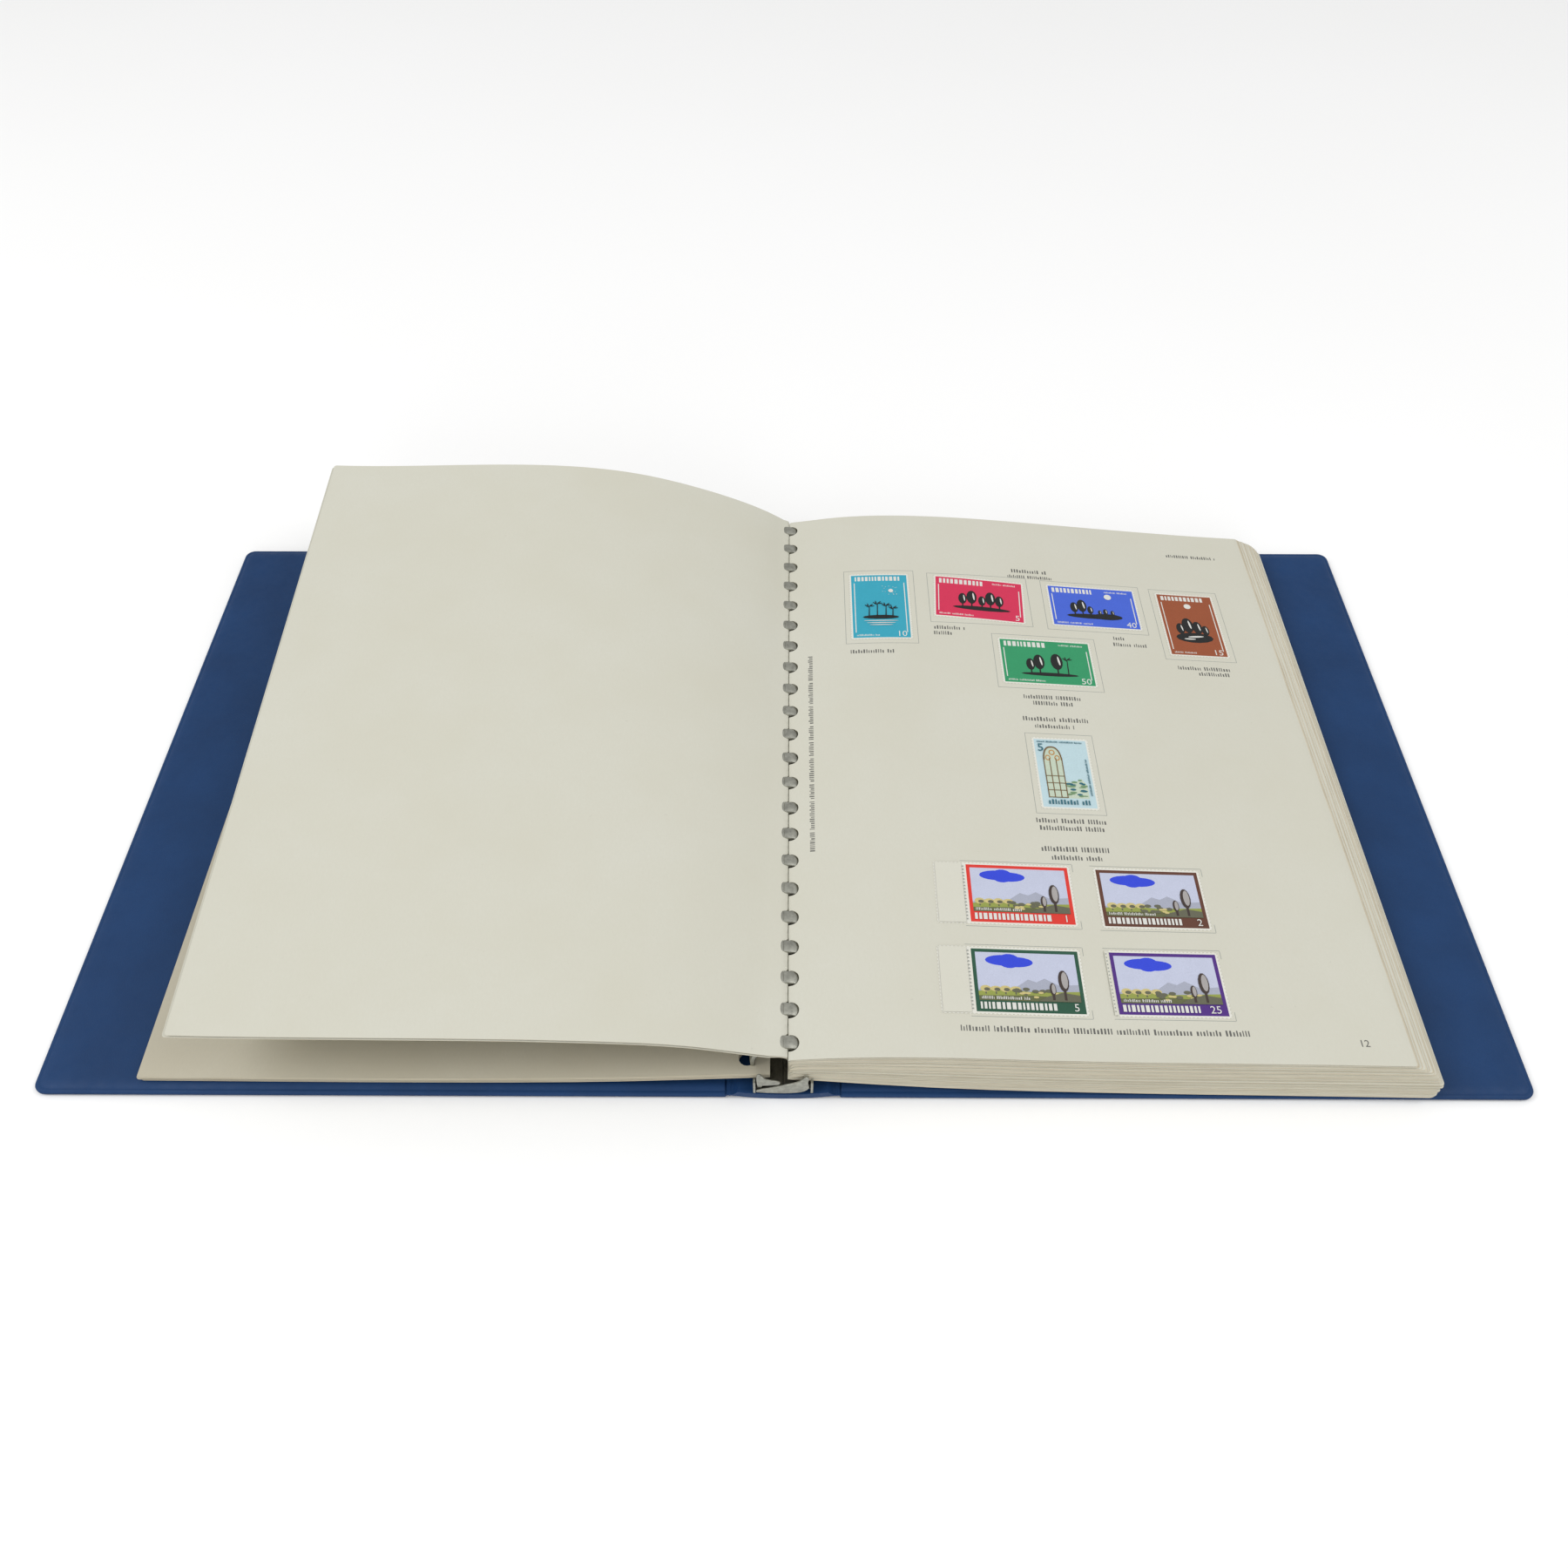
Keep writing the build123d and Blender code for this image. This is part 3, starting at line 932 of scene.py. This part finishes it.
def perforated(width, height, pitch=1.45, bite=0.42):
    """A stamp's outline with a row of half-round bites along each side."""

    def side(length):
        count = int(round(length / pitch))
        run = []
        for k in range(count):
            middle = length * (k + 0.5) / count
            for angle in (180, 135, 90, 45, 0):
                turn = math.radians(angle)
                run.append((middle + bite * math.cos(turn), bite * math.sin(turn)))
        return run

    half_w, half_h = width / 2, height / 2
    outline = []
    for px, py in side(width):
        outline.append((-half_w + px, -half_h + py))
    for px, py in side(height):
        outline.append((half_w - py, -half_h + px))
    for px, py in side(width):
        outline.append((half_w - px, half_h - py))
    for px, py in side(height):
        outline.append((-half_w + py, half_h - px))
    return outline


grey_print = ink("page_print_grey", (0.125, 0.125, 0.115), 0.8)
faint_print = ink("page_line_grey", (0.30, 0.315, 0.29), 0.8)
stamp_white = paper("stamp_paper_white", (0.71, 0.705, 0.64), (0.68, 0.67, 0.60), 0.6)
selvedge_paper = paper("stamp_paper_selvedge", (0.625, 0.618, 0.54), (0.605, 0.595, 0.51), 0.6)
black_ink = ink("stamp_ink_black", (0.012, 0.013, 0.013))
white_ink = ink("stamp_ink_white", (0.66, 0.66, 0.62))


def palm(x, y, height):
    trunk = [(x - 0.25, y), (x + 0.25, y), (x + 0.45, y + height), (x + 0.15, y + height)]
    fronds = [oval(x + 0.3 + 1.1 * math.cos(a), y + height + 0.7 * math.sin(a), 1.2, 0.26, a * 0.8, 8)
              for a in (0.1, 0.9, 2.2, 3.0)]
    return [trunk, *fronds]


def grove(ground, trees):
    """Round-topped trees on a dark mound, each with a light side."""
    x, y, rx, ry = ground
    dark = []
    light = []
    for place_x, tall in trees:
        dark.append(rect(place_x - 0.3, y, 0.6, 0.5 * tall))
        dark.append(oval(place_x, y + 0.62 * tall, 0.21 * tall, 0.38 * tall))
        light += [oval(place_x + 0.08 * tall, y + 0.66 * tall, 0.035 * tall, 0.22 * tall, 0.12, 8)]
    return [([oval(x, y, rx, ry)], black_ink), (dark, black_ink), (light, white_ink)]


STAMP_RIM = 1.0


def stamp_base(width, height, turn, name):
    low, high = box("stamp_" + name)
    centre = ((low[0] + high[0]) / 2, (low[1] + high[1]) / 2)
    art = Print(centre, turn, 0.05)
    art.film(*cut_flat([perforated(width + 2 * STAMP_RIM, height + 2 * STAMP_RIM)]), stamp_white, 0.12)
    art.lift += 0.12
    return art


def stamp_size(name):
    low, high = box("stamp_" + name)
    return high[0] - low[0], high[1] - low[1]


def finish_stamp(art, name):
    return place(art.make(f"stamp_{name}_printed"), "right_leaves", "stamp_paper", "stamp_" + name)


FIELD_COLOURS = {
    "cyan": (0.035, 0.34, 0.46),
    "crimson": (0.60, 0.028, 0.085),
    "blue": (0.055, 0.12, 0.60),
    "brown": (0.29, 0.075, 0.028),
    "green": (0.03, 0.28, 0.12),
}


def field_stamp(name, value, scene_shapes, seed, turn=0.0):
    """A single-colour stamp: colour field, title, white rules, value and a dark drawing."""
    width, height = stamp_size(name)
    draws = np.random.default_rng(seed)
    art = stamp_base(width, height, turn, name)
    left, low = -width / 2, -height / 2
    art.shapes([rect(left, low, width, height)], ink(f"stamp_ink_{name}", FIELD_COLOURS[name]))
    title, title_width = (2.9, 0.52 * width) if width > height else (2.7, 0.85 * width)
    art.marks(left + 1.6, -low - 1.0 - title, title_width, title, draws, white_ink, weight=0.24)
    if width > height:
        art.marks(left + width * 0.66, -low - 2.4, width * 0.28, 1.0, draws, white_ink)
    rule = 0.42
    sides = (left + 1.1, -left - 1.1 - rule)
    art.strokes([rect(x, low + 3.2, rule, height - 8.2) for x in sides], white_ink)
    art.marks(left + 1.6, low + 1.0, width * 0.42, 1.0, draws, white_ink)
    art.digits(value, 4.6, -left - (6.0 if len(value) > 1 else 3.8), low + 0.8, white_ink)
    for shapes, material in scene_shapes:
        art.shapes(shapes, material)
    finish_stamp(art, name)


def field_stamps():
    """Five plain drawings of trees and a round moon."""
    draws = np.random.default_rng(5)
    dots = [oval(draws.uniform(1, 8.5), draws.uniform(7, 12.5), 0.16, 0.16, 0, 6) for _ in range(20)]
    dunes = [oval(0.0, -9.6 - 1.3 * k, 7.6 - 1.2 * k, 0.22) for k in range(3)]
    palms = []
    for x, tall in ((-5.2, 7.0), (-1.6, 8.6), (2.2, 7.4), (5.2, 5.6)):
        palms += palm(x, -7.4, tall)
    field_stamp("cyan", "10", [
        (dots, white_ink),
        ([oval(5.0, 9.4, 1.1, 1.1)], white_ink),
        ([oval(0.0, -7.2, 8.0, 1.2)], black_ink),
        (palms, black_ink),
        (dunes, white_ink),
    ], 31)
    row = ((-7.5, 9), (-3.4, 11), (1.2, 8), (5.0, 11), (9.0, 9))
    field_stamp("crimson", "5", grove((1.0, -6.2, 13.0, 1.3), row), 32, -3.3)
    field_stamp("blue", "40", [
        *grove((-1.0, -6.0, 12.0, 1.5), ((-9.0, 8.5), (-5.4, 10.5), (-1.8, 6.5))),
        *grove((5.4, -5.8, 7.0, 1.9), ((2.4, 4.0), (5.0, 5.0), (8.2, 4.2))),
        ([oval(7.4, 7.2, 1.7, 1.7)], white_ink),
    ], 33)
    field_stamp("brown", "15", [
        ([oval(0.5, 12.2, 1.6, 1.6)], white_ink),
        *grove((0.0, -8.2, 8.4, 3.2), ((-5.4, 9.0), (-1.8, 12.5), (2.4, 10.5), (5.8, 8.0))),
        ([oval(0.6, -7.6, 3.6, 0.5, 0.1), oval(-2.4, -9.2, 2.6, 0.4)], white_ink),
    ], 34)
    field_stamp("green", "50", [
        *grove((0.5, -7.2, 12.5, 1.0), ((-7.4, 9.0), (-3.6, 11.5), (4.2, 12.5))),
        (palm(8.6, -7.0, 9.0), black_ink),
    ], 35)


def window_stamp():
    """A pale stamp with a pointed, traceried window in front of green hills."""
    name = "arched_window"
    width, height = stamp_size(name)
    draws = np.random.default_rng(41)
    art = stamp_base(width, height, 0.0, name)
    pale = ink("stamp_ink_pale_blue", (0.47, 0.62, 0.66))
    deep = ink("stamp_ink_sea_green", (0.03, 0.13, 0.17))
    tan = ink("stamp_ink_tan", (0.17, 0.105, 0.045))
    amber = ink("stamp_ink_amber", (0.45, 0.24, 0.08))
    glass = ink("stamp_ink_glass", (0.50, 0.58, 0.46))
    leafy = ink("stamp_ink_olive", (0.17, 0.28, 0.15))
    left, low = -width / 2, -height / 2
    art.shapes([rect(left, low, width, height)], pale)
    half, base, spring = 3.9, low + 4.6, -low - 11.0
    x, right = left + 6.6, -left - 2.4
    ridge = [(right, base + 7), (right - 2, base + 10), (right - 5, base + 8), (x, base + 9)]
    art.shapes([[(x, base), (right, base), *ridge]], glass)
    for k in range(22):
        place_x = draws.uniform(x + half, right - 1.2)
        place_y = base + 0.8 + draws.uniform(0, 8.5)
        bush = oval(place_x, place_y, draws.uniform(0.8, 1.6), draws.uniform(0.25, 0.6), 0, 8)
        art.shapes([bush], leafy if k % 3 else deep)
    rising = []
    for k in range(9):
        angle = 0.5 * math.pi * k / 8
        rising.append((x + half * math.cos(angle) ** 0.8, spring + 7.2 * math.sin(angle)))
    arch = rising + [(2 * x - px, py) for px, py in reversed(rising[:-1])]
    art.shapes([[(x + half, base), *arch, (x - half, base)]], glass)
    inner = [((px - x) * 0.86 + x, (py - spring) * 0.9 + spring) for px, py in arch]
    ribs = [[arch[k], arch[k + 1], inner[k + 1], inner[k]] for k in range(len(arch) - 1)]
    for place_x, rise, radius in ((-1.9, 1.2, 1.15), (1.9, 1.2, 1.15), (0.0, 4.0, 1.3)):
        art.shapes([oval(x + place_x, spring + rise, radius, 1.5, 0, 10)], amber)
        art.shapes([oval(x + place_x, spring + rise, 0.6 * radius, 0.9, 0, 10)], glass)
    posts = (-half + 0.2, -1.3, 1.3, half - 0.2)
    art.shapes([rect(x + k - 0.2, base, 0.4, spring - base + 1.0) for k in posts] + ribs, tan)
    art.strokes([rect(x - half, base + k, 2 * half, 0.3) for k in (0, 3.6, 7.2, 10.8)], tan)
    art.marks(left + 2.4, low + 1.3, width - 4.0, 2.3, draws, deep)
    art.marks(left + 1.2, -low - 1.8, width - 2.4, 0.8, draws, deep)
    art.marks(-left - 1.0, low + 6.0, height * 0.55, 0.8, draws, deep, upright=False)
    art.digits("5", 5.6, left + 0.9, -low - 6.4, deep)
    finish_stamp(art, name)


FRAME_COLOURS = {
    "landscape_red": (0.66, 0.04, 0.028),
    "landscape_brown": (0.115, 0.045, 0.028),
    "landscape_green": (0.022, 0.085, 0.05),
    "landscape_purple": (0.075, 0.025, 0.20),
}
PICTURE_WIDTH = 38.6
FRAME_GAP = 3.3


def landscape_inks():
    colours = {
        "sky": (0.50, 0.53, 0.66),
        "cloud": (0.03, 0.06, 0.62),
        "far_hills": (0.36, 0.38, 0.46),
        "grass": (0.27, 0.31, 0.07),
        "ground": (0.115, 0.125, 0.055),
        "straw": (0.55, 0.47, 0.20),
        "shade": (0.12, 0.12, 0.08),
        "trunk": (0.05, 0.035, 0.03),
        "leaves": (0.36, 0.34, 0.33),
    }
    return {name: ink("stamp_ink_" + name, colour) for name, colour in colours.items()}


FAR_HILLS = ((0, 4.2), (3, 5.4), (7, 4.6), (13, 5.0), (18, 8.6), (21, 7.6), (24, 9.2), (29, 6.4))


def countryside(art, x0, y0, wide, tall, inks, draws):
    """A cloud over hills, a row of bushes and two trees, in a picture whose low left corner is x0, y0."""
    right = x0 + wide
    sky_top = y0 + tall
    art.shapes([rect(x0, y0, wide, tall)], inks["sky"])
    for x, down, rx, ry in ((10.0, 3.2, 6.6, 2.2), (14.4, 3.8, 6.2, 2.1), (12.0, 3.4, 4.0, 2.9)):
        art.shapes([oval(x0 + x, sky_top - down, rx, ry, 0, 18)], inks["cloud"])
    ridges = [
        ("far_hills", (*FAR_HILLS, (wide, 7.0))),
        ("grass", ((0, 3.6), (8, 4.6), (20, 3.6), (wide, 4.2))),
        ("ground", ((0, 1.8), (19, 2.3), (wide, 1.2))),
    ]
    for name, ridge in ridges:
        art.shapes([[(x0, y0), (right, y0)] + [(x0 + x, y0 + y) for x, y in reversed(ridge)]], inks[name])
    for k, bush_x in enumerate((2.6, 6.2, 9.6, 13.2)):
        art.shapes([rect(x0 + bush_x - 0.25, y0 + 2.5, 0.5, 1.5)], inks["shade"])
        art.shapes([oval(x0 + bush_x, y0 + 4.6, 1.9, 1.3 - 0.2 * (k % 2))], inks["straw"])
        art.shapes([oval(x0 + bush_x + 0.5, y0 + 4.3, 1.1, 0.7)], inks["shade"])
    for name, x, y, spread, rise, rx, ry, count in (
        ("shade", 17, 3.2, (-4, 8), (-1, 1.6), 1.3, 0.7, 9),
        ("straw", 20, 2.4, (-5, 9), (-1, 1.2), 1.0, 0.45, 8),
    ):
        tufts = []
        for _ in range(7):
            place_x = x0 + x + draws.uniform(*spread)
            tufts.append(oval(place_x, y0 + y + draws.uniform(*rise), rx, ry, 0, count))
        art.shapes(tufts, inks[name])
    slope = [(right - 15, y0), (right, y0), (right, y0 + 2.6), (right - 6, y0 + 3.6), (right - 12, y0 + 1.8)]
    art.shapes([slope], inks["shade"])
    for tree_x, height in ((right - 5.2, 12.6), (right - 9.4, 7.4)):
        art.shapes([rect(tree_x - 0.45, y0 + 0.6, 0.9, 0.5 * height)], inks["trunk"])
        art.shapes([oval(tree_x, y0 + 0.66 * height, 0.15 * height, 0.34 * height)], inks["trunk"])
        lit_x = tree_x + 0.03 * height
        art.shapes([oval(lit_x, y0 + 0.68 * height, 0.09 * height, 0.27 * height)], inks["leaves"])


def selvedge(art, width, height):
    """The blank strip left of a stamp, with a row of perforations at the fold."""
    fold = width / 2 - PICTURE_WIDTH - STAMP_RIM - 0.2
    strip = rect(-width / 2 - 0.3, -height / 2 - 0.5, fold + width / 2 - 0.2, height + 1.0)
    art.shapes([strip], selvedge_paper)
    rows = np.arange(-height / 2 + 1, height / 2 - 0.5, 1.45)
    art.strokes([oval(fold, y, 0.3, 0.3, 0, 8) for y in rows], faint_print)


def landscape_stamp(name, value, inks, seed):
    """A coloured frame round a picture, with a greeked title band below it."""
    width, height = stamp_size(name)
    draws = np.random.default_rng(seed)
    art = stamp_base(width, height, 0.0, name)
    left, low = width / 2 - PICTURE_WIDTH, -height / 2
    art.shapes([rect(left, low, PICTURE_WIDTH, height)], ink("stamp_ink_" + name, FRAME_COLOURS[name]))
    rim, band = 1.35, 4.5
    x0, y0 = left + rim, low + band
    countryside(art, x0, y0, PICTURE_WIDTH - 2 * rim, height - band - rim, inks, draws)
    art.marks(x0 + 0.9, y0 + 0.4, PICTURE_WIDTH * 0.46, 1.15, draws, white_ink)
    art.marks(left + 1.6, low + 1.0, PICTURE_WIDTH * 0.74, 2.7, draws, white_ink, weight=0.26)
    art.digits(value, 4.2, width / 2 - (6.4 if len(value) > 1 else 4.2), low + 0.9, white_ink)
    if width > PICTURE_WIDTH:
        selvedge(art, width, height)
    finish_stamp(art, name)


def landscape_stamps():
    inks = landscape_inks()
    for name, value, seed in (
        ("landscape_red", "1", 51),
        ("landscape_brown", "2", 52),
        ("landscape_green", "5", 53),
        ("landscape_purple", "25", 54),
    ):
        landscape_stamp(name, value, inks, seed)


def caption_marks(draws):
    """Greeked headings and captions: each line's start from a stamp's low corner, then its size."""
    captions = (
        ("crimson", (36.2, 31.7, 17.6, 2.2), (34.1, 28.1, 21.2, 1.9)),
        ("cyan", (-1.4, -9.1, 20.2, 2.1)),
        ("crimson", (-2.0, -7.5, 14.2, 2.1), (-2.3, -10.9, 9.0, 2.1)),
        ("blue", (25.6, -7.5, 5.6, 2.1), (25.0, -11.3, 15.6, 2.1)),
        ("brown", (1.2, -9.1, 24.6, 2.1), (9.8, -12.3, 15.2, 2.1)),
        ("green", (7.0, -8.9, 25.2, 2.1), (10.7, -12.3, 18.0, 2.1)),
        ("arched_window", (-3.0, 44.9, 28.4, 2.3), (1.6, 41.1, 17.8, 2.1)),
        ("arched_window", (-3.7, -7.7, 28.6, 2.2), (-2.7, -11.3, 27.0, 2.2)),
        ("landscape_red", (41.5, 32.9, 27.6, 2.3), (45.0, 29.0, 20.8, 2.1)),
        ("landscape_green", (5.3, -7.5, 102.2, 2.2)),
    )
    marks = []
    for name, *lines in captions:
        low = box("stamp_" + name)[0]
        for x, y, wide, tall in lines:
            marks += greeked(low[0] + x, low[1] + y, wide, tall, draws)
    marks += greeked(page_high[0] - 37.4, leaf_rear - 16.9, 24.6, 1.9, draws)
    return marks + greeked(11.8, -55.0, 105, 1.9, draws, upright=False)


def page_print():
    """Frames, brackets, greeked headings and captions, and the page number."""
    draws = np.random.default_rng(61)
    page = Print(lift=0.0)
    lines = []
    for name in (*FIELD_COLOURS, "arched_window"):
        low, high = box("stamp_" + name)
        wide, tall = high[0] - low[0] + 2 * FRAME_GAP, high[1] - low[1] + 2 * FRAME_GAP
        lines += framed(low[0] - FRAME_GAP, low[1] - FRAME_GAP, wide, tall, 0.2)
    for name in FRAME_COLOURS:
        low, high = box("stamp_" + name)
        inner = high[0] - PICTURE_WIDTH - 2.0
        wide = PICTURE_WIDTH + 4.0
        lines += [rect(inner, high[1] + 1.7, wide, 0.2), rect(inner, low[1] - 1.9, wide, 0.2)]
        lines += [rect(inner + wide, low[1] - 1.7, 0.2, 3.4), rect(inner + wide, high[1] - 1.7, 0.2, 3.4)]
    page.strokes(lines, faint_print)
    page.strokes(caption_marks(draws), grey_print)
    page.digits("12", 3.8, page_high[0] - 18.2, leaf_front + 7.1, grey_print)
    place(page.make("page_12_printing"), "right_leaves", "cream_paper")


# ---- Materials on the CAD parts that stay

def finish_cad_parts():
    for names, material in (
        (("spine_skin", "spine_lining"), blue_vinyl),
        (("spine_board", "left_cover_board", "right_cover_board"), grey_board),
        (("ring_housing", "housing_rivets"), nickel),
        (("left_blade", "right_blade"), blade_steel),
    ):
        for name in names:
            data = nodes[name].data
            data.materials.clear()
            data.materials.append(material)


# ---- Floor, light and camera

def floor():
    points = [(x, y, -0.02) for y in (-4000, 4000) for x in (-4000, 4000)]
    s = Shader("pale_floor", roughness=0.9, specular=0.1)
    s.colour(s.ramp(s.noise(300, 2), [(0.3, (0.93, 0.93, 0.925)), (0.7, (0.94, 0.94, 0.938))]))
    obj = new_object("floor", points, [[0, 1, 3, 2]], [s.material])


def area_light(name, place_m, size, power):
    light = bpy.data.lights.new(name, "AREA")
    light.shape = "DISK"
    light.size = size
    light.energy = power
    obj = bpy.data.objects.new(name, light)
    obj.location = place_m
    obj.rotation_euler = (Vector((0, 0, 0)) - Vector(place_m)).to_track_quat("-Z", "Y").to_euler()
    bpy.context.scene.collection.objects.link(obj)


def lighting():
    world = bpy.data.worlds.new("studio")
    bpy.context.scene.world = world
    world.use_nodes = True
    background = world.node_tree.nodes["Background"]
    background.inputs["Color"].default_value = (1.0, 1.0, 1.0, 1)
    background.inputs["Strength"].default_value = 0.62
    area_light("left_softbox", (-1.3, -0.3, 1.5), 1.2, 15)
    area_light("right_softbox", (1.3, -0.3, 1.6), 1.2, 12)
    area_light("front_fill", (0.0, -1.7, 0.75), 0.9, 4.5)
    bpy.context.scene.view_settings.view_transform = "Standard"


def camera():
    """The viewpoint: 51 degrees above the table, in front of the spine."""
    elevation, yaw, distance = math.radians(51.436), math.radians(0.241), 540.1
    target = Vector((-0.28, -0.84, 0.0))
    back = Vector((
        math.sin(yaw) * math.cos(elevation),
        -math.cos(yaw) * math.cos(elevation),
        math.sin(elevation),
    ))
    data = bpy.data.cameras.new("camera")
    data.sensor_width = 36.0
    data.lens = 29.214
    data.clip_start = 0.01
    obj = bpy.data.objects.new("camera", data)
    obj.location = (target + back * distance) * MM
    obj.rotation_euler = (-back).to_track_quat("-Z", "Y").to_euler()
    bpy.context.scene.collection.objects.link(obj)
    bpy.context.scene.camera = obj


covers()
mechanism()
leaves()
field_stamps()
window_stamp()
landscape_stamps()
page_print()
finish_cad_parts()
floor()
lighting()
camera()
